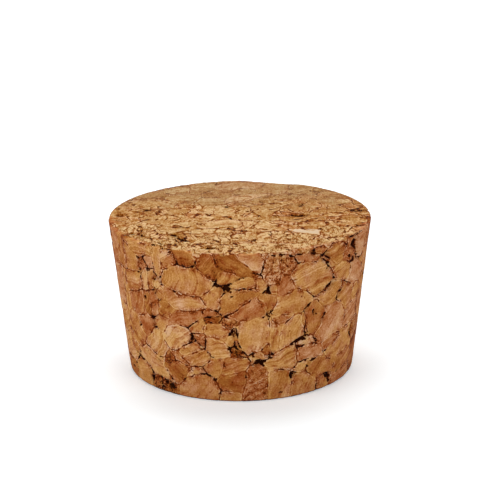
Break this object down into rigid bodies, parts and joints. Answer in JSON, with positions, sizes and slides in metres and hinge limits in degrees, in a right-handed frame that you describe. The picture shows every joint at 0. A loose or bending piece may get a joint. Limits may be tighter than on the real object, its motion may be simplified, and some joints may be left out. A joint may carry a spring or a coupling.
{
  "type": "cork stopper",
  "caption": "Tapered round stopper of bonded cork granules, flat at both ends, that seals a wide jar or flask neck and stands on its narrow end.",
  "frame": {"origin": "centre of the narrow end, which the stopper stands on", "axes": "+Z along the stopper's axis, from the narrow end to the wide end; -Y is the front"},
  "size_m": [0.0438, 0.0438, 0.026],
  "materials": {
    "cork": "bonded granules, ground and uncoated"
  },
  "bodies": {
    "root": {"stopper": "cork"}
  },
  "joints": []
}
